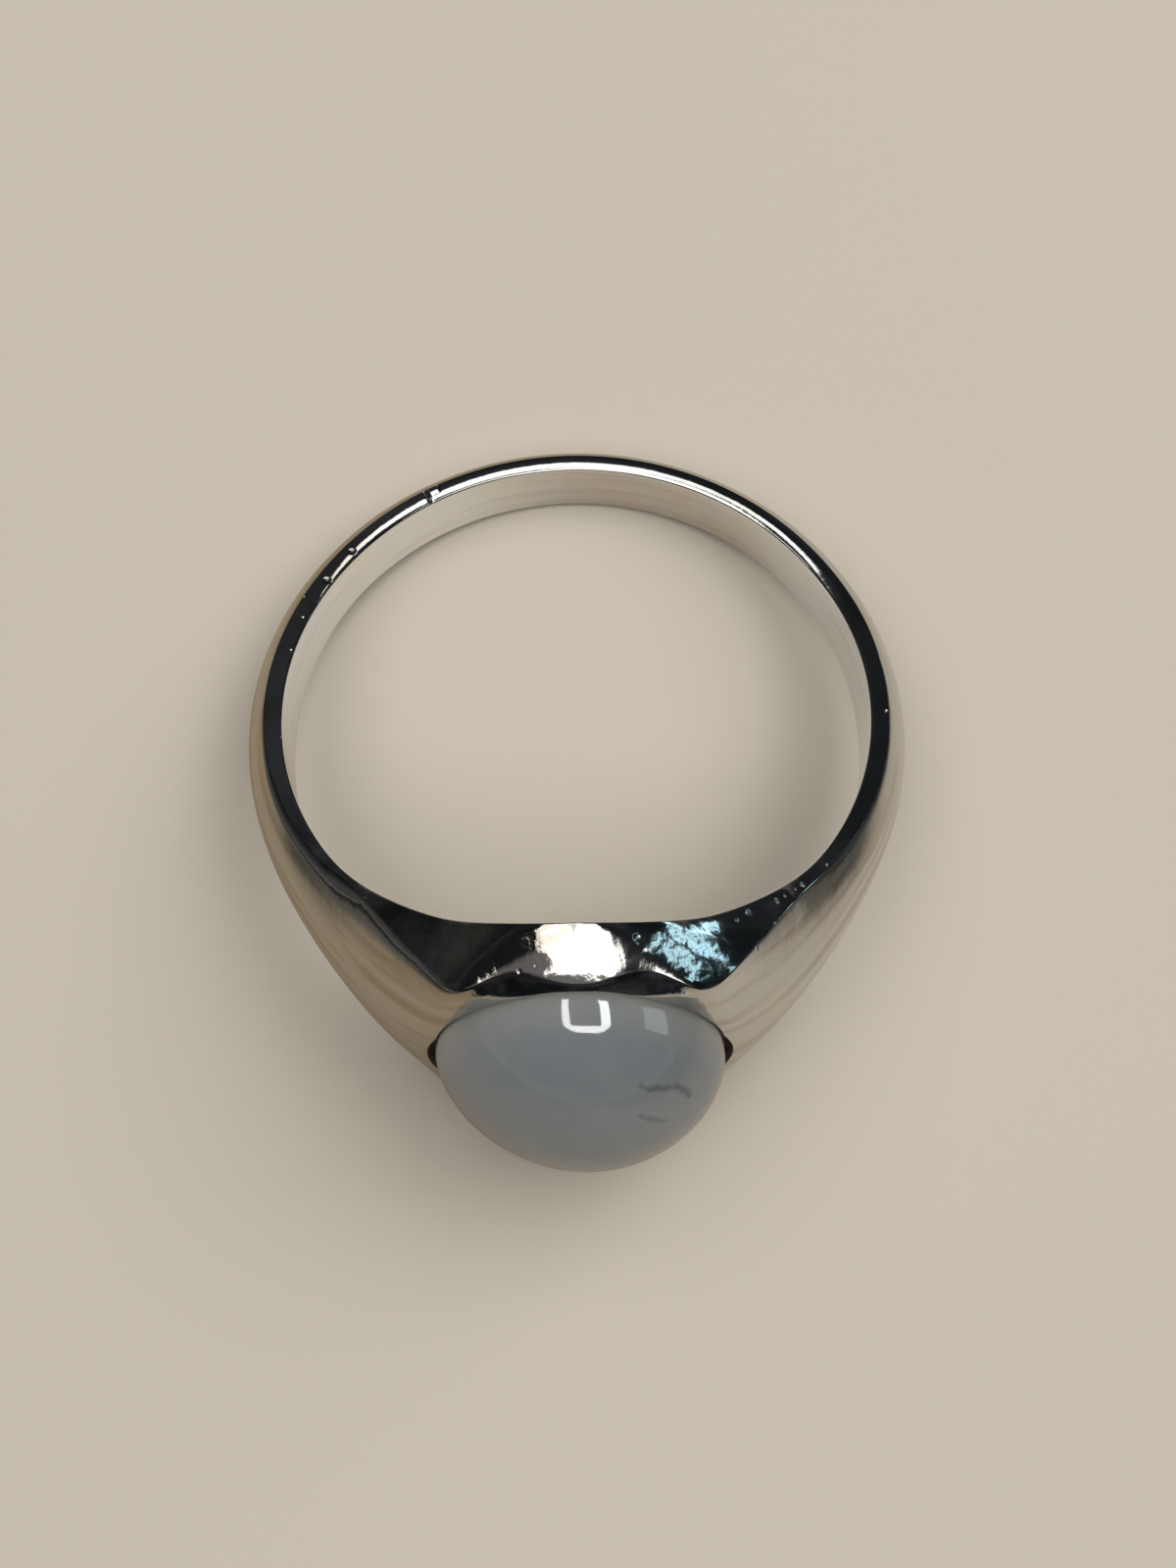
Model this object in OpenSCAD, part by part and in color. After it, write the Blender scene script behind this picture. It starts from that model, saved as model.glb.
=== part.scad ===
// Signet ring with an oval moonstone cabochon, lying on its side.
// The ring is drawn about its finger hole, whose axis is Z, with the head towards -Y.
// At the end it is tipped onto the surface, as it rests on its head and the back of its shank.

/* [Finger hole] */
// Radius of the finger hole
bore_r = 10.7; // [10:0.1:10.9]

/* [Shank] */
// Radius of the outer edge of the flat side faces
side_edge_r = 11.4; // [11.2:0.05:11.7]
// Radius of the crown at the back of the shank
back_crown_r = 12; // [11.8:0.05:12.3]
// Half the width of the band at the back
back_half_w = 1.23; // [1:0.01:1.6]

/* [Head] */
// Distance from the finger axis to the flat face round the stone
face_d = 12.8; // [12.7:0.05:13]
// Half the width of the head at the finger hole
head_half_w = 7.05; // [7:0.05:7.5]

/* [Stone] */
// Width of the stone, across the finger
stone_w = 10; // [9:0.1:10.2]
// Length of the stone, along the finger
stone_l = 12; // [11:0.1:12]
// Height of the dome above the face of the ring
dome_h = 3.85; // [2.5:0.05:4.5]
// Roundness of the dome, where 2 is an ellipse
dome_power = 1.82; // [1.6:0.02:2.2]
// Depth of the stone below the face
girdle_h = 0.95; // [0.6:0.05:1]

/* [Seat] */
// Gap under the stone
seat_gap_below = 0.05; // [0.03:0.01:0.1]
// Gap beside the stone, across the finger
seat_gap_w = 0.38; // [0.05:0.01:0.4]
// Gap beside the stone, along the finger
seat_gap_l = 0.05; // [0.03:0.01:0.08]

/* [Fineness] */
// Degrees between the sections of the ring
section_step = 3; // [2:1:5]
// Points across half of the crown
crown_steps = 7; // [5:1:9]
// Sides of the stone
stone_sides = 72; // [48:4:96]
// Rings of faces up the dome
dome_rings = 11; // [6:1:14]

/* [Hidden] */

// One side of the ring from the middle of the head (0 degrees) to the back (180 degrees).
// Columns: angle, half width at the bore, narrowing of the side face, side edge radius,
// crown radius. The first rows reach past the flat face, which is cut afterwards.
ANGLE = 0;
HALF_W = 1;
NARROWING = 2;
SIDE_EDGE = 3;
CROWN = 4;
SECTIONS = [
    [0, head_half_w, 1.41, 14, 14.6],
    [12, 6.5, 0.52, 13.86, 14.32],
    [18, 5.9, 0, 13.52, 14],
    [24, 5.26, 0, 12.78, 13.74],
    [30, 4.76, 0, 12.16, 13.46],
    [36, 4.26, 0, 11.69, 13.13],
    [44, 3.5, 0, 11.31, 12.74],
    [54, 2.76, 0, 11.25, 12.42],
    [68, 2.37, 0, 11.38, 12.23],
    [90, 1.85, 0, side_edge_r, 12.14],
    [130, 1.32, 0, side_edge_r, 12.04],
    [180, back_half_w, 0, side_edge_r, back_crown_r],
];

// The loft starts inside the finger hole, which is then cut through it.
loft_inner_r = bore_r - 0.7;
seat_depth = girdle_h + seat_gap_below;
seat_r_w = stone_w / 2 + seat_gap_w;
seat_r_l = stone_l / 2 + seat_gap_l;
// The stone narrows a little towards its base.
base_taper = 0.12;
cut_spare = 3;

// The head's edge at the bore and the back's side edge touch the surface at this tilt.
tilt = atan2(head_half_w - back_half_w, side_edge_r + bore_r);
contact_z = -side_edge_r * sin(tilt) - back_half_w * cos(tilt);
// How far the tilted dome reaches forward, and the tilted crown of the back reaches backward
dome_reach_power = dome_power / (dome_power - 1);
dome_reach = pow(
    pow(dome_h * cos(tilt), dome_reach_power) + pow(stone_l / 2 * sin(tilt), dome_reach_power),
    1 / dome_reach_power
);
front_y = -face_d * cos(tilt) - dome_reach;
back_rise = back_crown_r - side_edge_r;
back_reach = pow(back_half_w * sin(tilt), 2) / (4 * back_rise * cos(tilt));
back_y = back_crown_r * cos(tilt) + back_reach;
centre_y = (front_y + back_y) / 2;

// Slope of the smooth curve through a table's column at one of its rows
function rise(i, c) =
    (SECTIONS[i + 1][c] - SECTIONS[i][c]) / (SECTIONS[i + 1][ANGLE] - SECTIONS[i][ANGLE]);
function row_slope(i, c) =
    i == 0 || i == len(SECTIONS) - 1 ? 0
    : rise(i - 1, c) * rise(i, c) <= 0 ? 0
    : 2 / (1 / rise(i - 1, c) + 1 / rise(i, c));
function row_below(a, i = 0) =
    i >= len(SECTIONS) - 2 || a < SECTIONS[i + 1][ANGLE] ? i : row_below(a, i + 1);

// Smooth value of a column at any angle from the head
function blend(i, c, u, span) =
    SECTIONS[i][c] * (2 * pow(u, 3) - 3 * pow(u, 2) + 1)
    + SECTIONS[i + 1][c] * (3 * pow(u, 2) - 2 * pow(u, 3))
    + row_slope(i, c) * span * (pow(u, 3) - 2 * pow(u, 2) + u)
    + row_slope(i + 1, c) * span * (pow(u, 3) - pow(u, 2));
function smooth(a, c) =
    let (i = row_below(a), span = SECTIONS[i + 1][ANGLE] - SECTIONS[i][ANGLE])
    blend(i, c, (a - SECTIONS[i][ANGLE]) / span, span);

// Point on the side face at a radius r, where the face narrows evenly from the bore outward
function side_point(a, r) = [
    r,
    smooth(a, HALF_W) - smooth(a, NARROWING) * (r - bore_r) / (smooth(a, SIDE_EDGE) - bore_r)
];
// Point on the crown of a section at a fraction v of its half width
function crown_point(a, v) = [
    smooth(a, SIDE_EDGE) + (smooth(a, CROWN) - smooth(a, SIDE_EDGE)) * (1 - v * v),
    (smooth(a, HALF_W) - smooth(a, NARROWING)) * v
];

// Upper half of a section, from inside the bore, over the side face, to the middle of the crown
function half_section(a) = concat(
    [side_point(a, loft_inner_r)],
    [for (k = [0:crown_steps]) crown_point(a, cos(90 * k / crown_steps))]
);
function mirrored(points) =
    [for (k = [len(points) - 2:-1:0]) [points[k][0], -points[k][1]]];
function section(a) = concat(half_section(a), mirrored(half_section(a)));
function place(p, a) = [p[0] * sin(a), -p[0] * cos(a), p[1]];

// Angle of a section from the head, whichever side it is on
function from_head(a) = a > 180 ? 360 - a : a;

// Closed ring through all the sections
module ring_loft() {
    rings = 360 / section_step;
    side = section(0);
    n = len(side);
    points = [
        for (k = [0:rings - 1])
            let (a = k * section_step)
            for (p = section(from_head(a))) place(p, a)
    ];
    faces = [
        for (k = [0:rings - 1])
            for (j = [0:n - 1])
                let (
                    next = (k + 1) % rings,
                    up = (j + 1) % n
                )
                for (f = [
                    [k * n + j, next * n + j, next * n + up],
                    [k * n + j, next * n + up, k * n + up]
                ]) f
    ];
    polyhedron(points = points, faces = faces, convexity = 6);
}

function oval(rx, rz) = [
    for (k = [0:stone_sides - 1])
        [rx * cos(360 * k / stone_sides), rz * sin(360 * k / stone_sides)]
];

// Block in front of the flat face of the head
module face_cut() {
    reach = 2 * head_half_w;
    translate([-reach, -face_d - 2 * cut_spare, -reach])
        cube([2 * reach, 2 * cut_spare, 2 * reach]);
}

// Oval pocket for the stone, open at the face
module seat() {
    translate([0, seat_depth - face_d, 0])
        rotate([90, 0, 0])
            linear_extrude(height = seat_depth + cut_spare)
                polygon(oval(seat_r_w, seat_r_l));
}

// Tips the ring onto the surface, its origin below the middle of its outline
module at_rest() {
    translate([0, -centre_y, -contact_z])
        rotate([-tilt, 0, 0])
            children();
}

// Shank, shoulders, head and seat, cast in one piece
module ring_body() {
    color([0.80, 0.80, 0.81])
        at_rest()
            difference() {
                ring_loft();
                cylinder(h = 4 * head_half_w, r = bore_r, center = true, $fn = 180);
                face_cut();
                seat();
            }
}

// Ring k of the dome: 0 is the girdle, dome_rings is just below the top
function dome_scale(k) = cos(90 * k / dome_rings);
function dome_rise(s) = dome_h * pow(1 - pow(s, dome_power), 1 / dome_power);
function stone_ring(s, y) = [for (p = oval(stone_w / 2 * s, stone_l / 2 * s)) [p[0], y, p[1]]];

// Oval cabochon, flat underneath
module moonstone() {
    n = stone_sides;
    rings = dome_rings + 1;
    base_s = 1 - base_taper / (stone_w / 2);
    points = concat(
        stone_ring(base_s, girdle_h - face_d),
        [
            for (k = [0:dome_rings - 1])
                for (p = stone_ring(dome_scale(k), -face_d - dome_rise(dome_scale(k)))) p
        ],
        [[0, -face_d - dome_h, 0]]
    );
    tip = rings * n;
    walls = [
        for (k = [0:rings - 2])
            for (j = [0:n - 1])
                let (up = (j + 1) % n)
                for (f = [
                    [k * n + j, (k + 1) * n + up, k * n + up],
                    [k * n + j, (k + 1) * n + j, (k + 1) * n + up]
                ]) f
    ];
    cap = [for (j = [0:n - 1]) [(rings - 1) * n + j, tip, (rings - 1) * n + (j + 1) % n]];
    base = [[for (j = [0:n - 1]) j]];
    color([0.62, 0.64, 0.66])
        at_rest()
            polyhedron(points = points, faces = concat(walls, cap, base), convexity = 2);
}

ring_body();
moonstone();
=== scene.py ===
# Looks of the moonstone signet ring, in metres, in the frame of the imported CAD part
import math

import bpy
import numpy as np
from mathutils import Matrix, Vector


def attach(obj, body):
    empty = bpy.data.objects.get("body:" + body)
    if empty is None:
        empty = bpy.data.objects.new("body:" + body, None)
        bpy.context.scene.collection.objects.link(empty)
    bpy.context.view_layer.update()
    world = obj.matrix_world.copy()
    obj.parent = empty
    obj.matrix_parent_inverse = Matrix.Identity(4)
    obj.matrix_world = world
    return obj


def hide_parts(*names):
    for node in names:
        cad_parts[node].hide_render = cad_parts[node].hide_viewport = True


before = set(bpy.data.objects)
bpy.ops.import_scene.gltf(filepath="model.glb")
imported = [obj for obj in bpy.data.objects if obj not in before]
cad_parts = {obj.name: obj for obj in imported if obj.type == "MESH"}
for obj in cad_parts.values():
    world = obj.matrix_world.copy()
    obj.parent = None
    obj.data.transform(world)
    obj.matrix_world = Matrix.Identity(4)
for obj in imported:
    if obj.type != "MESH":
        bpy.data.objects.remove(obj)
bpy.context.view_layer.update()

MM = 0.001

# The ring's own sizes in millimetres, the same as in the CAD source. The finger axis is Z
# and the head is towards -Y, until the ring is tipped onto the surface.
BORE_R = 10.7
FACE_D = 12.8
SEAT_R = (5.38, 6.05)
SEAT_FLOOR_D = 11.8
STONE_R = (5.0, 6.0)
STONE_BASE_D = 11.85
STONE_BASE_TAPER = 0.12
DOME_H = 3.85
DOME_POWER = 1.82
TILT = math.radians(14.75377)
HOLE_CENTRE = (0.0, 2.3393, 4.0926)
# The seat hugs the stone with a small gap, but for a crescent at either side of the stone: the
# middle of the crescent and half its length, along the finger
SEAT_CLOSE = 0.03
CRESCENT_Z = -1.6
CRESCENT_HALF = 3.0

# Angle from the head in degrees, half width at the bore, side edge radius, crown radius
SECTIONS = np.array([
    (0, 7.05, 14, 14.6),
    (12, 6.5, 13.86, 14.32),
    (18, 5.9, 13.52, 14),
    (24, 5.26, 12.78, 13.74),
    (30, 4.76, 12.16, 13.46),
    (36, 4.26, 11.69, 13.13),
    (44, 3.5, 11.31, 12.74),
    (54, 2.76, 11.25, 12.42),
    (68, 2.37, 11.38, 12.23),
    (90, 1.85, 11.4, 12.14),
    (130, 1.32, 11.4, 12.04),
    (180, 1.23, 11.4, 12),
])
# At the head the side face leans in towards the stone by this much, and it is upright from this
# many degrees on
NARROWING = 1.41
NARROWING_SPAN = 27.0

# Softness of the real edges: between the flat face and the shoulders, at the bore, on the outer
# surface along the shank and along the head, and round the seat
FACE_BLEND = 0.42
BORE_EDGE = 0.07
SHANK_EDGE = 0.16
HEAD_EDGE = 0.55
SEAT_EDGE = 0.06
# The outer edge and the seat's edge take at most these shares of the rim between them
EDGE_SHARE = 0.35
SEAT_EDGE_SHARE = 0.3
# How far the outer edge reaches into the side face: at the head, on the right shoulder and the
# shank, and on the left shoulder
SIDE_EDGE = 0.12
SIDE_EDGE_RIGHT = 0.04
SIDE_EDGE_LEFT = 0.3
# How far the side face falls away to its edges at the back, and swells in its middle at the head
SHANK_CROWNING = 0.04
HEAD_CROWNING = 0.1
# Degrees from the head over which these forms come in or end
SHOULDER_START = (14, 22)
LEFT_SHOULDER_END = (50, 90)
HEAD_EDGE_END = (34, 60)
HEAD_CROWNING_END = (8, 34)
SHANK_CROWNING_START = (100, 140)
# The flat face rolls over towards the side faces, just beside the stone in the middle and
# beyond a line that climbs towards the corners: where that line climbs and its heights, how far
# the roll reaches in beside the stone, how softly the two meet, over what length the roll
# begins, and its slope
ROLL_X = (2.2, 4.6)
ROLL_Z = (5.5, 5.9)
ROLL_LEAD = 0.1
ROLL_BLEND = 0.2
ROLL_LENGTH = 0.07
ROLL_SLOPE = 0.9

# Fineness of the ring's mesh: columns all round, and how many of them on either side of the
# middle of the head are cut open for the flat face and the seat
COLUMNS = 480
WINDOW_COLUMNS = 44
BORE_ROWS = 9
FILLET_ROWS = 6
SIDE_ROWS = 8
CROWN_ROWS = 34
# How evenly the crown's rows are spaced, the rest being drawn towards its edges
CROWN_EVENNESS = 0.7
# Loops of faces across the flat face, drawn towards the seat by this power
SPOKE_ROWS = 22
SPOKE_POWER = 1.3
# Width of the last row of the side face, on the shoulders and the shank
SIDE_LAST_ROW = 0.03
# The first loops of faces are the wall of the seat, and the next ones round its edge
SEAT_LOOPS = 2
SEAT_EDGE_STEPS = (0.2, 0.4, 0.6, 0.8)

# A nick across the upper side face, near the back of the shank: its angle from the head and
# half its width in degrees, its depth, and the heights and the distances past the bore over
# which it comes in
NICK_ANGLE = 210.7
NICK_HALF_WIDTH = 0.25
NICK_DEPTH = 0.05
NICK_COLUMNS = 9
NICK_Z = (0.6, 1.0)
NICK_PAST_BORE = (0.02, 0.1)


# Curves along the ring

# Angles of the curves' values, and the same angles as seen from either side of the head
TABLE_STEP = 0.05
TABLE_ANGLES = np.arange(0, 360, TABLE_STEP)
TABLE_FOLDED = np.minimum(TABLE_ANGLES, 360 - TABLE_ANGLES)
# Degrees over which the curves are smoothed, and how often they are drawn back to the table
SMOOTHING = 3.0
SMOOTHING_PASSES = 4
# Far round from the head the flat face is treated as at this cosine, where it lies well outside
FACE_COSINE_LEAST = 0.2
# Degrees from the head up to which the seat is looked for
SEAT_ANGLE_MOST = 60
# Rounds of search for the meeting of two surfaces
CORNER_ROUNDS = 12
SURFACE_ROUNDS = 8


def curve_through(angles, rows):
    """Curve through a table's rows that never overshoots them, flat at the head and the back."""
    rise = np.diff(rows) / np.diff(angles)
    same_way = rise[:-1] * rise[1:] > 0
    mean = 2 * rise[:-1] * rise[1:] / np.where(same_way, rise[:-1] + rise[1:], 1)
    slope = np.concatenate([[0], np.where(same_way, mean, 0), [0]])
    i = np.clip(np.searchsorted(angles, TABLE_FOLDED, side="right") - 1, 0, len(rows) - 2)
    span = angles[i + 1] - angles[i]
    u = (TABLE_FOLDED - angles[i]) / span
    return (rows[i] * (2 * u ** 3 - 3 * u ** 2 + 1) + rows[i + 1] * (3 * u ** 2 - 2 * u ** 3)
            + slope[i] * span * (u ** 3 - 2 * u ** 2 + u)
            + slope[i + 1] * span * (u ** 3 - u ** 2))


def smooth_table(column):
    """The column's value all round the ring, rounded off so that reflections run smoothly."""
    kernel = np.exp(-0.5 * (TABLE_FOLDED / SMOOTHING) ** 2)
    kernel = np.fft.rfft(kernel / kernel.sum())
    angles, target = SECTIONS[:, 0], SECTIONS[:, column]
    rows = target.copy()
    for _ in range(SMOOTHING_PASSES):
        raw = curve_through(angles, rows)
        smooth = np.fft.irfft(np.fft.rfft(raw) * kernel, len(raw))
        rows = rows + target - np.interp(angles, TABLE_ANGLES, smooth)
    return smooth


HALF_W = smooth_table(1)
SIDE_EDGE_R = smooth_table(2)
CROWN_R = smooth_table(3)


def along(table, a):
    """A table's value at any angle."""
    return np.interp(np.mod(a, 360), TABLE_ANGLES, table, period=360)


def from_head(a):
    """Degrees from the head, whichever side it is on."""
    a = np.mod(a, 360)
    return np.minimum(a, 360 - a)


def step_up(x, low, high):
    """Smooth step from 0 at low to 1 at high."""
    u = np.clip((x - low) / (high - low), 0, 1)
    return u * u * u * (u * (6 * u - 15) + 10)


def narrowing(a):
    """How far the side face leans in between the bore and its outer edge."""
    lean = np.clip(from_head(a) / NARROWING_SPAN, 0, 1)
    return NARROWING * np.cos(0.5 * math.pi * lean) ** 4


def seat_height(x):
    """Half the length of the seat's oval at x."""
    return SEAT_R[1] * np.sqrt(np.clip(1 - (x / SEAT_R[0]) ** 2, 0, 1))


def face_drop(x, z):
    """How far the polished rim has rolled over beside the stone and at the head's corners."""
    by_stone = seat_height(x) - ROLL_LEAD
    by_line = ROLL_Z[0] + (ROLL_Z[1] - ROLL_Z[0]) * step_up(np.abs(x), *ROLL_X)
    start = 0.5 * (by_stone + by_line + np.sqrt((by_stone - by_line) ** 2 + ROLL_BLEND ** 2))
    past = np.maximum(np.abs(z) - start, 0)
    return ROLL_SLOPE * (past - ROLL_LENGTH * (1 - np.exp(-past / ROLL_LENGTH)))


def outer_r(a, z):
    """Radius of the crown, the shoulders and the flat face, blended into one surface."""
    half = along(HALF_W, a) - narrowing(a)
    edge = along(SIDE_EDGE_R, a)
    crown = edge + (along(CROWN_R, a) - edge) * (1 - (z / half) ** 2)
    cos_a = np.maximum(np.cos(np.radians(a)), FACE_COSINE_LEAST)
    x = FACE_D * np.abs(np.sin(np.radians(a))) / cos_a
    face = (FACE_D - face_drop(x, z)) / cos_a
    return 0.5 * (crown + face - np.sqrt((crown - face) ** 2 + FACE_BLEND ** 2))


def side_corner(a):
    """Radius and height at which the side face would meet the outer surface."""
    z = along(HALF_W, a) - narrowing(a)
    slope = narrowing(a) / (along(SIDE_EDGE_R, a) - BORE_R)
    for _ in range(CORNER_ROUNDS):
        r = outer_r(a, z)
        z = along(HALF_W, a) - slope * (r - BORE_R)
    return r, z


def bezier(p, q, s, count):
    """Points of a rounded corner from p to s round q, ends left out. Shapes are (column, 2)."""
    t = (np.arange(count) + 1) / (count + 1)
    t = t[None, :, None]
    p, q, s = (v[:, None, :] for v in (p, q, s))
    return (1 - t) ** 2 * p + 2 * t * (1 - t) * q + t * t * s


def side_softness(a):
    """How far the outer edge may reach into the side face."""
    off = from_head(a)
    on_shoulder = step_up(off, *SHOULDER_START)
    on_left = np.where(a > 180, 1 - step_up(off, *LEFT_SHOULDER_END), 0)
    shoulder_soft = SIDE_EDGE_RIGHT + (SIDE_EDGE_LEFT - SIDE_EDGE_RIGHT) * on_left
    return SIDE_EDGE + (shoulder_soft - SIDE_EDGE) * on_shoulder


def side_fractions(a, edge, span):
    """Rows of the side face, as fractions of the way from the bore to the outer corner."""
    t_in = (BORE_EDGE / span)[:, None]
    t_out = (1 - np.minimum(edge, side_softness(a)) / span)[:, None]
    face_t = t_in + (t_out - t_in) * np.linspace(0, 1, SIDE_ROWS)[None, :]
    # Away from the head a row close to the rounded edge keeps the side face flat up to it
    gap = face_t[:, -1] - face_t[:, -2]
    gap = gap + (SIDE_LAST_ROW / span - gap) * step_up(from_head(a), *SHOULDER_START)
    face_t[:, -2] = face_t[:, -1] - gap
    return face_t


def crown_rows(a, start_z):
    """Rows of the outer surface from its edge to its middle."""
    u = np.linspace(0, 1, CROWN_ROWS)
    spacing = CROWN_EVENNESS * (1 - u) + (1 - CROWN_EVENNESS) * np.cos(0.5 * math.pi * u)
    crown_z = start_z[:, None] * spacing[None, :]
    crown_z[:, -1] = 0
    return np.stack([outer_r(a[:, None] + 0 * crown_z, crown_z), crown_z], axis=-1)


def half_profiles(a):
    """Upper half of every section, from the middle of the bore to the middle of the crown."""
    off = from_head(a)
    corner_r, corner_z = side_corner(a)
    span = corner_r - BORE_R
    bore_z = along(HALF_W, a)
    crowning = SHANK_CROWNING * step_up(off, *SHANK_CROWNING_START)
    bulge = HEAD_CROWNING * (1 - step_up(off, *HEAD_CROWNING_END))

    def side(t):
        flat = bore_z[:, None] + (corner_z - bore_z)[:, None] * t
        bow = (2 * t - 1) ** 2
        z = flat - crowning[:, None] * bow + bulge[:, None] * (1 - bow)
        return np.stack([BORE_R + span[:, None] * t, z], axis=-1)

    seat_x = FACE_D * np.tan(np.radians(np.minimum(off, SEAT_ANGLE_MOST)))
    rim = corner_z - seat_height(seat_x)
    soft = SHANK_EDGE + (HEAD_EDGE - SHANK_EDGE) * (1 - step_up(off, *HEAD_EDGE_END))
    edge = np.minimum(soft, EDGE_SHARE * rim)

    bore_r = np.full_like(a, BORE_R)
    start = np.stack([bore_r, bore_z - crowning - BORE_EDGE], axis=-1)
    bore_corner = np.stack([bore_r, bore_z - crowning], axis=-1)
    wall_t = np.linspace(0, 1, BORE_ROWS)[None, :, None]
    wall = start[:, None, :] * (np.array([1, 0]) + np.array([0, 1]) * wall_t)
    face = side(side_fractions(a, edge, span))
    corner = np.stack([corner_r, corner_z - crowning], axis=-1)
    crown = crown_rows(a, corner_z - edge)
    parts = [
        wall,
        bezier(start, bore_corner, face[:, 0], FILLET_ROWS),
        face,
        bezier(face[:, -1], corner, crown[:, 0], FILLET_ROWS),
        crown,
    ]
    return np.concatenate(parts, axis=1)


def to_world(points):
    """From the ring's own millimetres to metres, with the ring tipped onto the surface."""
    x, y, z = points[..., 0], points[..., 1], points[..., 2]
    c, s = math.cos(TILT), math.sin(TILT)
    out = np.stack([
        x + HOLE_CENTRE[0],
        y * c + z * s + HOLE_CENTRE[1],
        z * c - y * s + HOLE_CENTRE[2],
    ], axis=-1)
    return out * MM


def wrap(a, r, z):
    """Points from their angle, radius and height."""
    angle = np.radians(a)
    return np.stack([r * np.sin(angle), -r * np.cos(angle), z], axis=-1)


def outer_y(x, z):
    """Y of the outer surface of the head above a point of the plane across it."""
    y = np.full_like(x, -FACE_D)
    for _ in range(SURFACE_ROUNDS):
        a = np.degrees(np.arctan2(x, -y))
        y = -np.sqrt(outer_r(a, z) ** 2 - x ** 2)
    return y


def make_object(name, points, faces, slot, node):
    mesh = bpy.data.meshes.new(name)
    mesh.from_pydata(to_world(np.asarray(points)).tolist(), [], faces)
    mesh.validate()
    mesh.shade_smooth()
    piece = bpy.data.objects.new(name, mesh)
    bpy.context.scene.collection.objects.link(piece)
    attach(piece, "root")
    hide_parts(node)
    return piece


# The ring: a loft all round, with a window in the head for the flat face and the seat


def full_sections(a):
    """Every section all round, with the nick let into the upper side face, and the number of
    the row at which the outer surface starts."""
    half = half_profiles(a)
    m = half.shape[1] - 1
    mirrored = half[:, m - 1:0:-1] * np.array([1, -1])
    full = np.concatenate([half, mirrored], axis=1)
    past_bore = (BORE_R + reach for reach in NICK_PAST_BORE)
    on_top = step_up(half[..., 1], *NICK_Z) * step_up(half[..., 0], *past_bore)
    depth = NICK_DEPTH * np.exp(-((a - NICK_ANGLE) / NICK_HALF_WIDTH) ** 2)
    full[:, :m + 1, 1] -= depth[:, None] * on_top
    return full, m - CROWN_ROWS + 1


def seat_rings(edge):
    """Loops of points from the floor of the seat, up its wall and across the flat face to the
    edge of the window."""
    phi = np.arctan2(edge[:, 2] / SEAT_R[1], edge[:, 0] / SEAT_R[0])
    near = STONE_R[0] + SEAT_CLOSE
    seat_z = SEAT_R[1] * np.sin(phi)
    open_part = np.maximum(1 - ((seat_z - CRESCENT_Z) / CRESCENT_HALF) ** 2, 0)
    seat_x = (near + (SEAT_R[0] - near) * open_part) * np.cos(phi)
    seat_y = outer_y(seat_x, seat_z)
    reach = np.hypot(edge[:, 0] - seat_x, edge[:, 2] - seat_z)
    soft = np.minimum(SEAT_EDGE, SEAT_EDGE_SHARE * reach)
    first = soft / reach

    def ring_at(x, y, z):
        return np.stack([x, y, z], axis=-1)

    def on_face(t):
        x = seat_x + (edge[:, 0] - seat_x) * t
        z = seat_z + (edge[:, 2] - seat_z) * t
        return ring_at(x, outer_y(x, z), z)

    rings = [
        ring_at(seat_x, np.full_like(seat_x, -SEAT_FLOOR_D), seat_z),
        ring_at(seat_x, 0.5 * (seat_y + soft - SEAT_FLOOR_D), seat_z),
        ring_at(seat_x, seat_y + soft, seat_z),
    ]
    wall_top, brink, lip = rings[-1], ring_at(seat_x, seat_y, seat_z), on_face(first)
    for t in SEAT_EDGE_STEPS:
        rings.append((1 - t) ** 2 * wall_top + 2 * t * (1 - t) * brink + t * t * lip)
    for u in np.linspace(0, 1, SPOKE_ROWS + 1)[:-1]:
        rings.append(on_face(first + (1 - first) * u ** SPOKE_POWER))
    return rings


def ring_mesh():
    """Points and faces of the ring, and the numbers of the faces inside the seat."""
    a = np.arange(COLUMNS) * 360.0 / COLUMNS
    nick = NICK_ANGLE + NICK_HALF_WIDTH * np.linspace(-2, 2, NICK_COLUMNS)
    a = np.sort(np.concatenate([a, nick]))
    columns = len(a)
    full, top = full_sections(a)
    rows = full.shape[1]
    bottom = rows - top
    points = wrap(a[:, None] + 0 * full[..., 0], full[..., 0], full[..., 1]).reshape(-1, 3)

    def at(k, j):
        return (k % columns) * rows + j % rows

    w = WINDOW_COLUMNS
    faces = []
    for k in range(columns):
        in_window = k < w or k >= columns - w
        for j in range(rows):
            if in_window and top <= j < bottom:
                continue
            faces.append((at(k, j), at(k, j + 1), at(k + 1, j + 1), at(k + 1, j)))

    border = [at(k, top) for k in range(w, -w, -1)]
    border += [at(-w, j) for j in range(top, bottom)]
    border += [at(k, bottom) for k in range(-w, w)]
    border += [at(w, j) for j in range(bottom, top, -1)]
    rings = seat_rings(points[border])
    count = len(border)
    base = len(points)
    points = np.concatenate([points] + rings + [np.array([[0, -SEAT_FLOOR_D, 0]])])
    loops = [[base + i * count + j for j in range(count)] for i in range(len(rings))]
    loops.append(border)
    seat_faces = []
    for i, (low, high) in enumerate(zip(loops[:-1], loops[1:])):
        for j in range(count):
            if i < SEAT_LOOPS:
                seat_faces.append(len(faces))
            up = (j + 1) % count
            faces.append((low[j], high[j], high[up], low[up]))
    centre = len(points) - 1
    for j in range(count):
        seat_faces.append(len(faces))
        faces.append((centre, loops[0][j], loops[0][(j + 1) % count]))
    return points, faces, seat_faces


# The stone

STONE_SIDES = 144
STONE_RINGS = 56
# The dome's formula comes to a faint point, which is rounded off over this share of its width
APEX_SOFTNESS = 0.12
# The real dome leans to the right by this much for each millimetre that it rises
DOME_LEAN = 0.08


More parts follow.
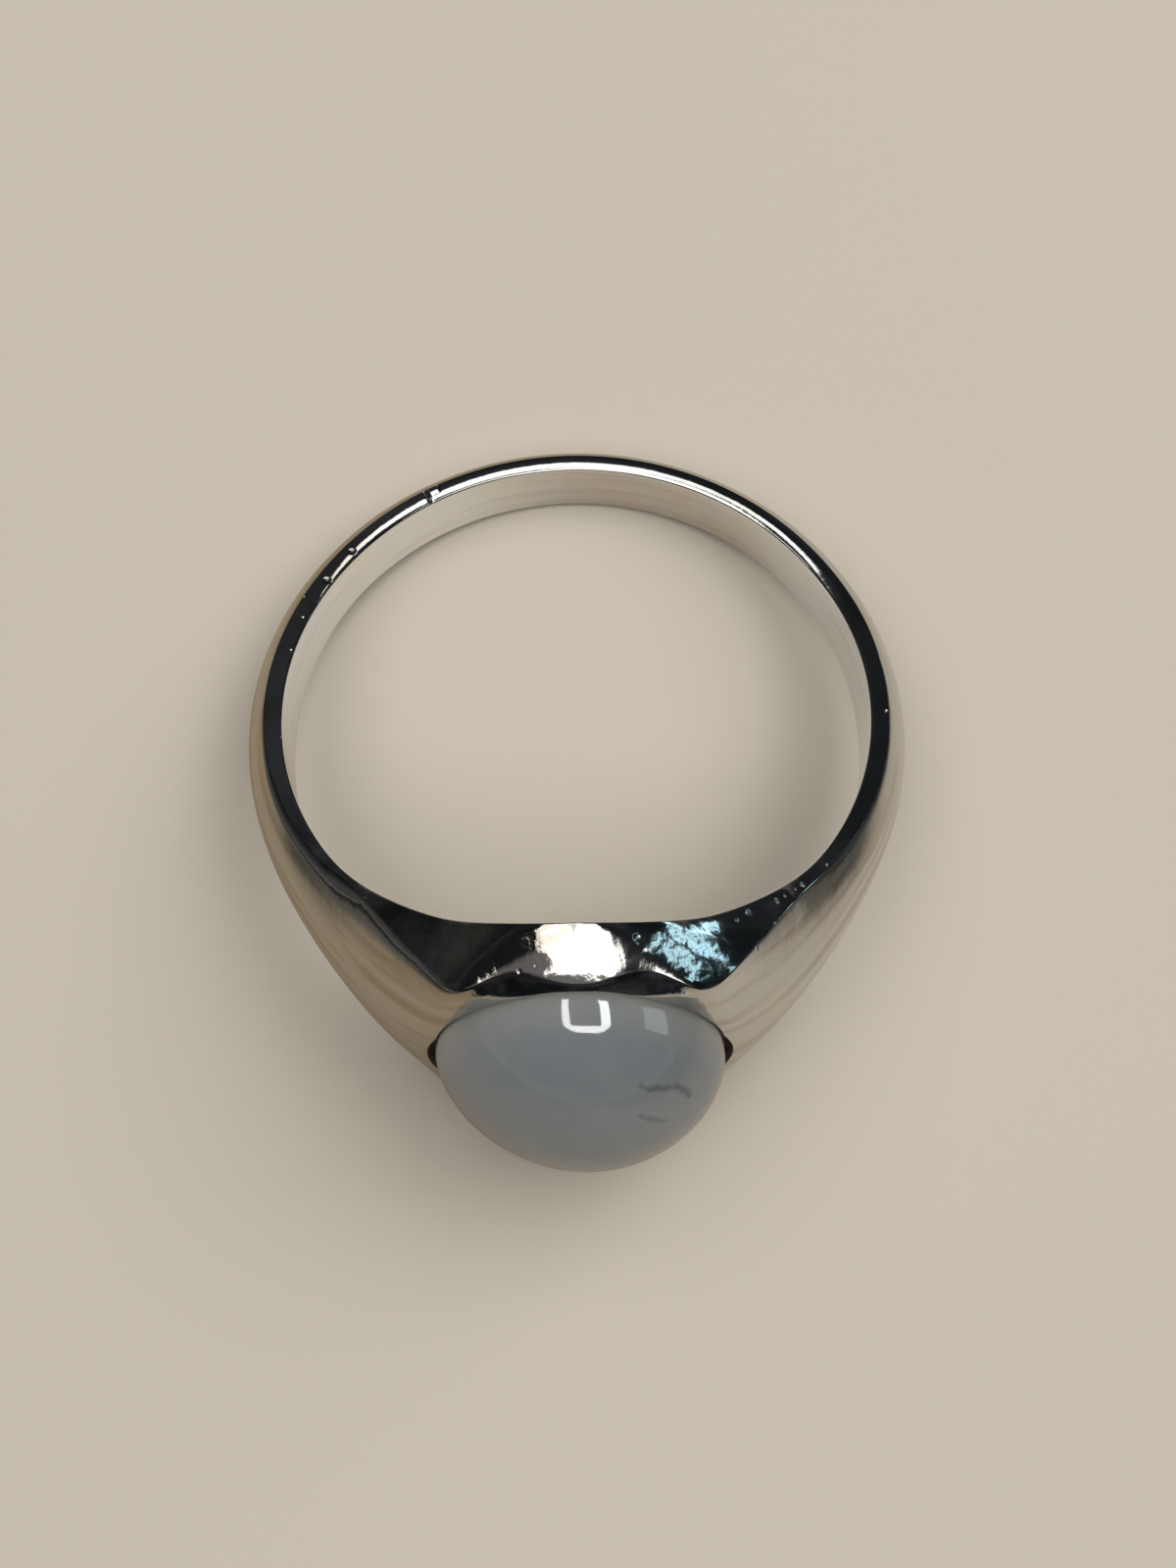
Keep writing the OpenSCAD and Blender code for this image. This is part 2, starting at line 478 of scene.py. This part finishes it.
def stone_mesh():
    """The cabochon: flat underneath, a short girdle, then the dome up to its middle."""
    soft = APEX_SOFTNESS ** DOME_POWER
    top = (1 + APEX_SOFTNESS ** 2) ** (DOME_POWER / 2) - soft
    scales, depths = [], []
    base_scale = 1 - STONE_BASE_TAPER / STONE_R[0]
    for t in (0, 0.5):
        scales.append(base_scale + (1 - base_scale) * t)
        depths.append(STONE_BASE_D + (FACE_D - STONE_BASE_D) * t)
    for k in range(STONE_RINGS):
        s = math.cos(0.5 * math.pi * k / STONE_RINGS)
        bulge = ((s * s + APEX_SOFTNESS ** 2) ** (DOME_POWER / 2) - soft) / top
        scales.append(s)
        depths.append(FACE_D + DOME_H * (1 - bulge) ** (1 / DOME_POWER))
    angle = np.arange(STONE_SIDES) * 2 * math.pi / STONE_SIDES
    rings = [np.stack([STONE_R[0] * s * np.cos(angle) + DOME_LEAN * max(d - FACE_D, 0),
                       np.full(STONE_SIDES, -d), STONE_R[1] * s * np.sin(angle)], axis=-1)
             for s, d in zip(scales, depths)]
    points = np.concatenate(rings + [np.array([[DOME_LEAN * DOME_H, -FACE_D - DOME_H, 0],
                                               [0, -STONE_BASE_D, 0]])])
    n = STONE_SIDES
    faces = [(k * n + j, k * n + (j + 1) % n, (k + 1) * n + (j + 1) % n, (k + 1) * n + j)
             for k in range(len(rings) - 1) for j in range(n)]
    last = (len(rings) - 1) * n
    tip, bottom = len(points) - 2, len(points) - 1
    faces += [(last + j, last + (j + 1) % n, tip) for j in range(n)]
    faces += [((j + 1) % n, j, bottom) for j in range(n)]
    return points, faces


# Materials


class Graph:
    """Short way to write a node tree: most calls add one node and return its main output."""

    def __init__(self, tree):
        self.tree = tree

    def put(self, socket, value):
        if isinstance(value, bpy.types.NodeSocket):
            self.tree.links.new(value, socket)
        else:
            socket.default_value = value

    def add(self, kind, inputs, **settings):
        node = self.tree.nodes.new(kind)
        for key, value in settings.items():
            setattr(node, key, value)
        for key, value in inputs.items():
            self.put(node.inputs[key], value)
        return node

    def math(self, operation, *values):
        inputs = dict(enumerate(values))
        return self.add("ShaderNodeMath", inputs, operation=operation).outputs[0]

    def vector(self, operation, *values, out=0):
        inputs = dict(enumerate(values))
        return self.add("ShaderNodeVectorMath", inputs, operation=operation).outputs[out]

    def span(self, value, low, high, to_low=0.0, to_high=1.0):
        """Smooth step from to_low at low to to_high at high."""
        inputs = {"Value": value, "From Min": low, "From Max": high,
                  "To Min": to_low, "To Max": to_high}
        node = self.add("ShaderNodeMapRange", inputs, interpolation_type="SMOOTHSTEP")
        return node.outputs["Result"]

    def noise(self, place, scale, detail=2.0, roughness=0.5, distortion=0.0, w=None):
        inputs = {"Vector": place, "Scale": scale, "Detail": detail,
                  "Roughness": roughness, "Distortion": distortion}
        if w is None:
            return self.add("ShaderNodeTexNoise", inputs).outputs[0]
        node = self.add("ShaderNodeTexNoise", {}, noise_dimensions="4D")
        for key, value in {**inputs, "W": w}.items():
            self.put(node.inputs[key], value)
        return node.outputs[0]

    def mix(self, factor, a, b):
        node = self.tree.nodes.new("ShaderNodeMix")
        node.data_type = "RGBA"
        self.put(node.inputs[0], factor)
        self.put(node.inputs[6], a)
        self.put(node.inputs[7], b)
        return node.outputs[2]

    def bump(self, height, depth, normal=None):
        """Bump whose height 1 stands depth millimetres proud."""
        inputs = {"Strength": 1.0, "Distance": depth * MM, "Height": height}
        if normal is not None:
            inputs["Normal"] = normal
        return self.add("ShaderNodeBump", inputs).outputs[0]

    def own_place(self):
        """The point shaded, in the ring's own millimetres."""
        c, s = math.cos(TILT), math.sin(TILT)
        h, v = HOLE_CENTRE[1], HOLE_CENTRE[2]
        inputs = {"Vector": self.add("ShaderNodeTexCoord", {}).outputs["Object"],
                  "Location": (0, v * s - h * c, -h * s - v * c),
                  "Rotation": (TILT, 0, 0),
                  "Scale": (1 / MM, 1 / MM, 1 / MM)}
        return self.add("ShaderNodeMapping", inputs).outputs[0]

    def split(self, vector):
        return self.add("ShaderNodeSeparateXYZ", {0: vector}).outputs

    def join(self, x, y, z):
        return self.add("ShaderNodeCombineXYZ", {0: x, 1: y, 2: z}).outputs[0]


def material_graph(name):
    material = bpy.data.materials.new(name)
    material.use_nodes = True
    graph = Graph(material.node_tree)
    return material, graph, material.node_tree.nodes["Principled BSDF"]


# Heights over which marks on the upper side face fade in
UPPER_FACE = (0.5, 0.9)
# Dents on the upper side face: x, y and radius, in the ring's own millimetres
DENTS = [
    (11.24, -0.48, 0.12), (8.61, -6.97, 0.08), (7.68, -7.96, 0.13), (7.4, -8.2, 0.06),
    (6.73, -8.83, 0.14), (7.0, -8.56, 0.07), (5.73, -9.45, 0.18), (5.3, -9.82, 0.11),
    (4.61, -11.62, 0.1), (6.57, -9.74, 0.06), (5.88, -10.77, 0.08), (-10.21, 4.93, 0.1),
    (-10.19, 3.98, 0.1), (-10.55, 2.53, 0.08), (-10.67, -1.25, 0.06), (-9.36, 5.71, 0.2),
    (-8.47, 7.02, 0.2), (1.9, -11.1, 0.16), (2.1, -11.5, 0.12), (-1.9, -12.1, 0.1),
]
# The ground step beside the nick: its span of angles and how many degrees it takes to fade in
# and out, where it starts, how wide it is, and how steep
STEP_SPAN = (208.3, 209.9)
STEP_FADE = (0.6, 0.1)
STEP_START_R = 10.95
STEP_WIDTH = 0.42
STEP_SLOPE = 0.11
# Depths of the bumps in the metal, in millimetres
RIPPLE_DEPTH = 0.021
PEEL_DEPTH = 0.0045
GRAIN_DEPTH = 0.0005
HAIRLINE_DEPTH = 0.0002
PIT_DEPTH = 0.004
DENT_DEPTH = 0.022
# Colours of the metal, and of the film in its streaks and pits
SILVER_COOL = (0.63, 0.64, 0.62, 1)
SILVER_WARM = (0.66, 0.63, 0.58, 1)
SILVER_VIOLET = (0.63, 0.6, 0.63, 1)
STREAK_BROWN = (0.42, 0.36, 0.29, 1)
PIT_BROWN = (0.25, 0.22, 0.19, 1)


def dent_pattern(g, x, y, z):
    """1 in the middle of each dent, 0 around it."""
    flat_place = g.join(x, y, 0.0)
    dents = 0.0
    for dent_x, dent_y, radius in DENTS:
        away = g.vector("DISTANCE", flat_place, (dent_x, dent_y, 0), out=1)
        dents = g.math("ADD", dents, g.span(away, 0.0, radius, 1.0, 0.0))
    return g.math("MULTIPLY", dents, g.span(z, *UPPER_FACE))


def step_pattern(g, x, y, z, r):
    """Millimetres outward from where the ground step starts, 0 off the step."""
    turn = g.math("ARCTAN2", g.math("MULTIPLY", x, -1.0), y)
    turn = g.math("MULTIPLY_ADD", turn, 180 / math.pi, 180.0)
    low, high = STEP_SPAN
    on_step = g.math("MULTIPLY", g.span(turn, low - STEP_FADE[0], low),
                     g.span(turn, high, high + STEP_FADE[1], 1.0, 0.0))
    ground = g.math("MAXIMUM", g.math("SUBTRACT", r, STEP_START_R), 0.0)
    ground = g.math("MINIMUM", ground, STEP_WIDTH)
    return g.math("MULTIPLY", ground, g.math("MULTIPLY", on_step, g.span(z, *UPPER_FACE)))


def pit_pattern(g, place):
    """1 in the middle of each of a few scattered pits."""
    pits = g.add("ShaderNodeTexVoronoi", {"Vector": place, "Scale": 1.5})
    chosen = g.math("GREATER_THAN", g.split(pits.outputs["Color"])[0], 0.72)
    return g.math("MULTIPLY", chosen, g.span(pits.outputs["Distance"], 0.0, 0.07, 1.0, 0.0))


def silver_material():
    """Old polished metal: hairlines along the band, broad streaks, soft ripples, dents, pits."""
    material, g, shader = material_graph("polished silver")
    place = g.own_place()
    x, y, z = g.split(place)
    r = g.math("SQRT", g.math("ADD", g.math("MULTIPLY", x, x), g.math("MULTIPLY", y, y)))
    # Hairlines and streaks run along the band and widen with it towards the head
    east, south = g.math("DIVIDE", x, r), g.math("DIVIDE", y, r)
    to_head = g.math("MULTIPLY_ADD", south, -0.5, 0.5)
    width = g.math("ADD", g.math("MULTIPLY_ADD", to_head, 0.9, 1.23),
                   g.math("MULTIPLY", g.math("POWER", to_head, 10.0), 4.9))
    across = g.math("DIVIDE", z, width)
    hairlines = g.noise(g.join(east, south, g.math("MULTIPLY", across, 12.0)), 5.0, 3.0, 0.7,
                        w=g.math("MULTIPLY", r, 16.0))
    streaks = g.noise(g.join(east, south, g.math("MULTIPLY", across, 4.0)), 1.3, 3.0, 0.55)
    broad = g.noise(place, 0.55, 2.0)
    ripples = g.noise(place, 1.0, 2.0, 0.4)
    peel = g.noise(place, 3.2, 2.0, 0.5)
    grain = g.noise(place, 11.0, 3.0, 0.6)
    pit = pit_pattern(g, place)
    dents = dent_pattern(g, x, y, z)

    colour = g.mix(g.span(broad, 0.35, 0.65), SILVER_COOL, SILVER_WARM)
    colour = g.mix(g.span(ripples, 0.5, 0.75, 0.0, 0.6), colour, SILVER_VIOLET)
    # The bore is worn clean by the finger
    on_bore = g.span(r, BORE_R + 0.02, BORE_R + 0.1, 0.35, 1.0)
    streaked = g.math("MULTIPLY", g.span(streaks, 0.55, 0.35, 0.0, 0.7), on_bore)
    colour = g.mix(streaked, colour, STREAK_BROWN)
    g.put(shader.inputs["Base Color"], g.mix(g.math("MULTIPLY", pit, 0.6), colour, PIT_BROWN))
    shader.inputs["Metallic"].default_value = 1
    rough = g.math("ADD", g.span(streaks, 0.3, 0.75, 0.04, 0.09),
                   g.span(hairlines, 0.62, 0.8, 0.0, 0.1))
    rough = g.math("ADD", rough, g.math("MULTIPLY", pit, 0.2))
    g.put(shader.inputs["Roughness"], g.math("ADD", rough, g.math("MULTIPLY", dents, 0.25)))

    # The head is less evenly polished than the shank
    unevenness = g.math("MULTIPLY_ADD", g.math("POWER", to_head, 3.0), 0.6, 0.4)
    normal = g.bump(g.math("MULTIPLY", ripples, unevenness), RIPPLE_DEPTH)
    normal = g.bump(g.math("MULTIPLY", peel, unevenness), PEEL_DEPTH, normal)
    normal = g.bump(grain, GRAIN_DEPTH, normal)
    normal = g.bump(hairlines, HAIRLINE_DEPTH, normal)
    normal = g.bump(pit, -PIT_DEPTH, normal)
    normal = g.bump(dents, -DENT_DEPTH, normal)
    normal = g.bump(step_pattern(g, x, y, z, r), STEP_SLOPE, normal)
    g.put(shader.inputs["Normal"], normal)
    return material


SEAT_DARK = (0.12, 0.08, 0.06, 1)
SEAT_PALE = (0.26, 0.19, 0.15, 1)
SEAT_CLOUD_DEPTH = 0.03


def dark_seat_material():
    """Dark brown, clouded colour on the wall and floor of the seat, under and beside the stone."""
    material, g, shader = material_graph("dark seat")
    cloud = g.noise(g.own_place(), 2.2, 4.0, 0.6)
    colour = g.mix(g.span(cloud, 0.3, 0.7), SEAT_DARK, SEAT_PALE)
    g.put(shader.inputs["Base Color"], colour)
    g.put(shader.inputs["Roughness"], g.span(cloud, 0.3, 0.7, 0.75, 0.5))
    g.put(shader.inputs["Normal"], g.bump(cloud, SEAT_CLOUD_DEPTH))
    return material


# Dark feathers just under the dome, each a line between two points (x, z) in the ring's own
# millimetres, with its width and its darkness
FEATHERS = [
    ((1.9, 4.0), (2.83, 3.28), 0.17, 0.42),
    ((2.83, 3.28), (3.16, 3.13), 0.17, 0.5),
    ((3.16, 3.13), (3.68, 2.2), 0.17, 0.5),
    ((2.01, 2.83), (2.85, 1.79), 0.15, 0.32),
]
# Heights above the face over which the feathers appear in the dome
FEATHER_RISE = (1.2, 1.6)
FEATHER_DARK = (0.012, 0.014, 0.016, 1)
# Colours of the body of the stone, of its finer haze, and the painted glow of light through its
# thin edge
STONE_BODY = ((0.29, 0.314, 0.334, 1), (0.31, 0.33, 0.345, 1))
STONE_HAZE = (0.325, 0.335, 0.335, 1)
STONE_EDGE_GLOW = (0.44, 0.445, 0.41, 1)
# Height above the face up to which the painted edge glow shows
EDGE_GLOW_RISE = 1.5
STONE_IOR = 1.52
STONE_GLOW = 0.85
STONE_GLOW_RADIUS = (1.0, 1.05, 1.15)
STONE_GLOW_DEPTH = 2.5
STONE_WAVE_DEPTH = 0.004


def feather_pattern(g, place, y, fine):
    """Darkness of the feathers, each a line that wanders a little."""
    noise = g.add("ShaderNodeTexNoise", {"Vector": place, "Scale": 1.6, "Detail": 2.0})
    wander = g.vector("SUBTRACT", noise.outputs["Color"], (0.5, 0.5, 0.5))
    bent = g.vector("MULTIPLY_ADD", wander, (0.5, 0.5, 0.5), place)
    bent = g.vector("MULTIPLY", bent, (1, 0, 1))
    feathers = 0.0
    for start, end, width, dark in FEATHERS:
        start, end = (Vector((px, 0, pz)) for px, pz in (start, end))
        run = end - start
        step = g.vector("DOT_PRODUCT", g.vector("SUBTRACT", bent, tuple(start)),
                        tuple(run / run.length_squared), out=1)
        step = g.math("MINIMUM", g.math("MAXIMUM", step, 0.0), 1.0)
        foot = g.vector("MULTIPLY_ADD", g.join(step, step, step), tuple(run), tuple(start))
        away = g.vector("DISTANCE", bent, foot, out=1)
        feathers = g.math("MAXIMUM", feathers, g.span(away, 0.0, width, dark, 0.0))
    feathers = g.math("MULTIPLY", feathers, g.span(fine, 0.3, 0.6, 0.5, 1.0))
    low, high = FEATHER_RISE
    return g.math("MULTIPLY", feathers, g.span(y, -FACE_D - low, -FACE_D - high))


def moonstone_material():
    """Milky grey stone that glows softly, with clouds, a painted glow along its thin edge and dark
    feathers.
    """
    material, g, shader = material_graph("moonstone")
    place = g.own_place()
    y = g.split(place)[1]
    cloud = g.noise(place, 0.32, 3.0, 0.55, 0.6)
    fine = g.noise(place, 1.4, 4.0, 0.6)
    feathers = feather_pattern(g, place, y, fine)

    body = g.mix(g.span(cloud, 0.3, 0.7), *STONE_BODY)
    body = g.mix(g.span(fine, 0.5, 0.8, 0.0, 0.3), body, STONE_HAZE)
    # Painted light: the thin edge of the stone is painted paler, for the light that it lets through
    # more than its thick middle
    girdle = g.span(y, -FACE_D - EDGE_GLOW_RISE, -FACE_D, 0.0, 0.55)
    body = g.mix(girdle, body, STONE_EDGE_GLOW)
    g.put(shader.inputs["Base Color"], g.mix(feathers, body, FEATHER_DARK))
    g.put(shader.inputs["Roughness"], g.span(fine, 0.3, 0.8, 0.02, 0.05))
    shader.inputs["IOR"].default_value = STONE_IOR
    shader.inputs["Subsurface Weight"].default_value = STONE_GLOW
    shader.inputs["Subsurface Radius"].default_value = STONE_GLOW_RADIUS
    shader.inputs["Subsurface Scale"].default_value = STONE_GLOW_DEPTH * MM
    g.put(shader.inputs["Normal"], g.bump(g.noise(place, 0.9, 2.0), STONE_WAVE_DEPTH))
    return material


# Floor and world

# What the camera sees beyond the floor, and the distances over which the floor fades into it
BACKDROP = (0.57, 0.505, 0.41, 1)
FLOOR_FADE = (0.12, 0.6)
FLOOR_HALF = 3.0
FLOOR_COLOUR = (0.64, 0.585, 0.495, 1)
# The floor as the metal reflects it: left of the ring, in painted shade, right of it, further off,
# and farthest
REFLECTED_LEFT = (0.42, 0.34, 0.24, 1)
REFLECTED_RIGHT = (0.58, 0.53, 0.45, 1)
REFLECTED_FAR = (0.13, 0.125, 0.11, 1)
REFLECTED_FARTHEST = (0.035, 0.038, 0.034, 1)
# And inside the ring, paler with painted light, and browner behind the middle and to the right of
# it
REFLECTED_INSIDE = (0.85, 0.8, 0.71, 1)
REFLECTED_INSIDE_FAR = (0.58, 0.5, 0.41, 1)


def reflected_floor(g, place):
    """Colour of the floor as the metal reflects it, by place in metres, with painted shade left of
    the ring and painted light inside it.
    """
    east, north = g.split(place)[:2]
    # Painted shade on the reflected floor left of the ring
    near = g.mix(g.span(east, -0.008, 0.016), REFLECTED_LEFT, REFLECTED_RIGHT)
    away = g.math("ABSOLUTE", east)
    room = g.mix(g.span(away, 0.017, 0.042), near, REFLECTED_FAR)
    room = g.mix(g.span(away, 0.04, 0.1), room, REFLECTED_FARTHEST)
    from_hole = g.vector("DISTANCE", place, (0, HOLE_CENTRE[1] * MM, 0), out=1)
    inside_far = g.math("MULTIPLY", g.span(north, 0.0075, 0.0105), g.span(east, -0.005, 0.001))
    # Painted light: the reflected floor inside the ring is paler
    inside = g.mix(inside_far, REFLECTED_INSIDE, REFLECTED_INSIDE_FAR)
    return g.mix(g.span(from_hole, 0.0095, 0.0115), inside, room)


def floor_material():
    """Plain pale floor, which the metal reflects with painted shade and light, as part of a
    browner, dimmer room.
    """
    material, g, shader = material_graph("pale floor")
    place = g.add("ShaderNodeTexCoord", {}).outputs["Object"]
    place = g.vector("MULTIPLY", place, (1, 1, 0))
    path = g.add("ShaderNodeLightPath", {}).outputs
    colour = g.mix(path["Is Glossy Ray"], FLOOR_COLOUR, reflected_floor(g, place))
    # Far off the floor runs into the pale background without an edge
    far = g.math("MULTIPLY", path["Is Camera Ray"],
                 g.span(g.vector("LENGTH", place, out=1), *FLOOR_FADE))
    g.put(shader.inputs["Base Color"], g.mix(far, colour, (0, 0, 0, 1)))
    shader.inputs["Emission Color"].default_value = BACKDROP
    g.put(shader.inputs["Emission Strength"], far)
    shader.inputs["Roughness"].default_value = 0.9
    shader.inputs["Specular IOR Level"].default_value = 0.1
    return material


def make_floor():
    mesh = bpy.data.meshes.new("floor")
    corners = [(FLOOR_HALF * x, FLOOR_HALF * y, 0) for x, y in ((-1, -1), (1, -1), (1, 1), (-1, 1))]
    mesh.from_pydata(corners, [], [(0, 1, 2, 3)])
    mesh.materials.append(floor_material())
    floor = bpy.data.objects.new("floor", mesh)
    bpy.context.scene.collection.objects.link(floor)


# The room in the reflections: its dark ceiling, its pale walls, and soft light round the window,
# with the directions of the middle of that light
CEILING = ((0.007, 0.009, 0.010, 1), (0.045, 0.047, 0.055, 1))
WALLS = (0.62, 0.6, 0.56, 1)
LEFT_OF_WINDOW = (-0.25, -0.15, 0.955)
LEFT_OF_WINDOW_COLOUR = (0.19, 0.185, 0.2, 1)
BELOW_WINDOW = (0.02, -0.42, 0.9)
BELOW_WINDOW_COLOUR = (0.19, 0.195, 0.195, 1)


def make_world():
    """Dark room above, pale towards the horizon and in front, and pale to the camera."""
    world = bpy.data.worlds.new("studio")
    bpy.context.scene.world = world
    world.use_nodes = True
    g = Graph(world.node_tree)
    back = world.node_tree.nodes["Background"]
    way = g.add("ShaderNodeTexCoord", {}).outputs["Generated"]
    x, y, z = g.split(way)
    dark = g.mix(g.span(g.noise(way, 2.3, 3.0), 0.4, 0.75), *CEILING)
    sides = g.math("MULTIPLY", g.span(x, -0.55, -0.85), g.span(z, 0.55, 0.2, 0.0, 0.08))
    front = g.math("MULTIPLY", g.span(y, 0.0, -0.5), g.span(z, 0.2, 0.0, 0.0, 0.5))
    behind = g.span(z, 0.07, 0.0, 0.0, 0.25)
    pale = g.math("MAXIMUM", g.math("MAXIMUM", sides, front), behind)
    room = g.mix(pale, dark, WALLS)
    left = g.vector("DISTANCE", way, LEFT_OF_WINDOW, out=1)
    room = g.mix(g.span(left, 0.3, 0.12), room, LEFT_OF_WINDOW_COLOUR)
    wide_way = g.join(g.math("MULTIPLY", x, 0.45), y, z)
    below = g.vector("DISTANCE", wide_way, BELOW_WINDOW, out=1)
    room = g.mix(g.span(below, 0.2, 0.06), room, BELOW_WINDOW_COLOUR)
    seen = g.add("ShaderNodeLightPath", {}).outputs["Is Camera Ray"]
    g.put(back.inputs["Color"], g.mix(seen, room, BACKDROP))
    back.inputs["Strength"].default_value = 1.0


# Lights: two soft ones for the floor and the stone, and panels and strips that only show as
# reflections in one piece. Panels lie level above the ring, strips stand round its middle.
PANEL_HEIGHT = 0.5
STRIP_CENTRE = (0, 0, 0.007)
STRIP_DISTANCE = 0.6
WHITE = (1, 1, 0.99)
SKY_BLUE = (0.52, 0.84, 1.0)
BACK_PALE = (0.97, 1, 0.98)
WALL_PALE = (0.85, 0.95, 1)
FRAME_PALE = (0.93, 1, 1)

# The window that the side face of the head reflects: place, size, turn in degrees and glow
WINDOW_PANELS = [
    ("window left", (-0.135, 0.075), (0.121, 0.526), 30, 2.0),
    ("window right", (0.056, -0.025), (0.208, 0.405), -17.3, 2.0),
    ("window middle", (-0.028, 0.079), (0.179, 0.319), 17.8, 1.2),
]
# The patch of sky beside it: directions of the two ends of each strip, and its width
SKY_GLOW = 1.9
SKY_STRIPS = [
    ((0.520, 0.242, 0.819), (0.636, 0.474, 0.609), 0.016),
    ((0.635, 0.475, 0.609), (0.708, 0.620, 0.339), 0.015),
    ((0.715, 0.634, 0.294), (0.709, 0.684, 0.172), 0.018),
    ((0.712, 0.685, 0.156), (0.671, 0.731, 0.125), 0.022),
    ((0.676, 0.725, 0.132), (0.634, 0.751, 0.184), 0.034),
]
# The frame of a window in the dome of the stone
FRAME_PANELS = [
    ("frame left", (-0.117, 0.015), (0.057, 0.38), 0, 14, WHITE),
    ("frame right", (0.197, 0.015), (0.085, 0.38), 0, 18, FRAME_PALE),
    ("frame sill", (0.042, -0.226), (0.205, 0.09), 0, 15, WHITE),
    ("frame corner left", (-0.0915, -0.2), (0.058, 0.095), 43, 15, WHITE),
    ("frame corner right", (0.1725, -0.2), (0.07, 0.095), -43, 15, WHITE),
]


def area_light(name, at, aim, size, power, colour):
    data = bpy.data.lights.new(name, "AREA")
    data.shape = "RECTANGLE"
    data.size, data.size_y = size
    data.energy = power
    data.color = colour
    light = bpy.data.objects.new(name, data)
    bpy.context.scene.collection.objects.link(light)
    light.location = at
    light.rotation_mode = "QUATERNION"
    light.rotation_quaternion = (Vector(aim) - Vector(at)).to_track_quat("-Z", "Y")
    light.visible_camera = False
    return light


def reflected_only(light, piece):
    """The light shows in the reflections of one piece, and lights nothing else."""
    group = bpy.data.collections.new(light.name + " receives")
    group.objects.link(piece)
    light.light_linking.receiver_collection = group
    light.visible_diffuse = False
    light.visible_transmission = False
    light.visible_volume_scatter = False


def panel(name, at, size, turn, glow, colour, only):
    """Level light panel above the ring, turned about the upright by some degrees."""
    power = math.pi * glow * size[0] * size[1]
    light = area_light(name, (*at, PANEL_HEIGHT), (0, 0, 0), size, power, colour)
    light.rotation_mode = "XYZ"
    light.rotation_euler = (0, 0, math.radians(turn))
    reflected_only(light, only)


def strip(name, way, end_way, width, glow, colour, only):
    """Light strip from one direction to another, facing the middle of the ring."""
    centre = Vector(STRIP_CENTRE)
    a, b = (centre + STRIP_DISTANCE * Vector(v).normalized() for v in (way, end_way))
    at = 0.5 * (a + b)
    back = (at - centre).normalized()
    along_strip = (b - a).normalized()
    across = along_strip.cross(back).normalized()
    size = (width, (b - a).length)
    light = area_light(name, at, centre, size, math.pi * glow * size[0] * size[1], colour)
    turn = Matrix((across, along_strip, across.cross(along_strip))).transposed()
    light.rotation_quaternion = turn.to_quaternion()
    reflected_only(light, only)


def make_studio_lights():
    sky = area_light("sky", (0, 0, 1.0), (0, 0, 0), (1.4, 1.4), 9.6, (1.0, 0.985, 0.96))
    key = area_light("key", (0.42, 0.22, 0.6), (0, 0, 0), (0.6, 0.6), 2.4, (1.0, 0.985, 0.95))
    for light in (sky, key):
        light.visible_glossy = False
    # The key models the shade on the floor, and the stone takes the even light of the sky alone
    skipped = bpy.data.collections.new("key skips")
    skipped.objects.link(stone)
    key.light_linking.receiver_collection = skipped
    skipped.collection_objects[0].light_linking.link_state = "EXCLUDE"


def make_reflections():
    for name, at, size, turn, glow in WINDOW_PANELS:
        panel(name, at, size, turn, glow, WHITE, ring)
    for i, (way, end_way, width) in enumerate(SKY_STRIPS):
        strip(f"sky patch {i + 1}", way, end_way, width, SKY_GLOW, SKY_BLUE, ring)
    # A window and a wall behind the ring, in the back of the shank
    strip("back window", (0.031, 0.511, 0.859), (0.0, 0.74, 0.67), 0.07, 1.8, BACK_PALE, ring)
    strip("back wall", (-0.143, 0.342, 0.929), (-0.259, 0.444, 0.858), 0.3, 1.8, BACK_PALE, ring)
    for name, at, size, turn, glow, colour in FRAME_PANELS:
        panel(name, at, size, turn, glow, colour, stone)
    strip("wall", (0.89, 0.28, 0.35), (0.89, -0.24, 0.37), 0.22, 2.0, WALL_PALE, stone)


# Camera: where it stands, the directions behind it and to its right, and its lens

CAMERA_AT = Vector((0.000233, -0.015419, 0.082112))
CAMERA_BACK = Vector((-0.00203, -0.19639, 0.98052))
CAMERA_RIGHT = Vector((0.99992, -0.01239, -0.00041))
CAMERA_LENS = 49.34
CAMERA_SENSOR = 36.0


def make_camera():
    data = bpy.data.cameras.new("camera")
    data.lens = CAMERA_LENS
    data.sensor_width = CAMERA_SENSOR
    data.clip_start = 0.002
    data.clip_end = 20
    camera = bpy.data.objects.new("camera", data)
    bpy.context.scene.collection.objects.link(camera)
    back = CAMERA_BACK.normalized()
    up = back.cross(CAMERA_RIGHT).normalized()
    right = up.cross(back)
    turn = Matrix((right, up, back)).transposed()
    camera.matrix_world = Matrix.Translation(CAMERA_AT) @ turn.to_4x4()
    bpy.context.scene.camera = camera


def make_ring():
    points, faces, seat_faces = ring_mesh()
    piece = make_object("ring", points, faces, "polished_silver", "ring_body")
    piece.data.materials.append(silver_material())
    piece.data.materials.append(dark_seat_material())
    for i in seat_faces:
        piece.data.polygons[i].material_index = 1
    return piece


def make_stone():
    piece = make_object("cabochon", *stone_mesh(), "moonstone", "moonstone")
    piece.data.materials.append(moonstone_material())
    return piece


ring = make_ring()
stone = make_stone()
make_floor()
make_world()
make_camera()
make_studio_lights()
make_reflections()
bpy.context.scene.view_settings.view_transform = "Standard"
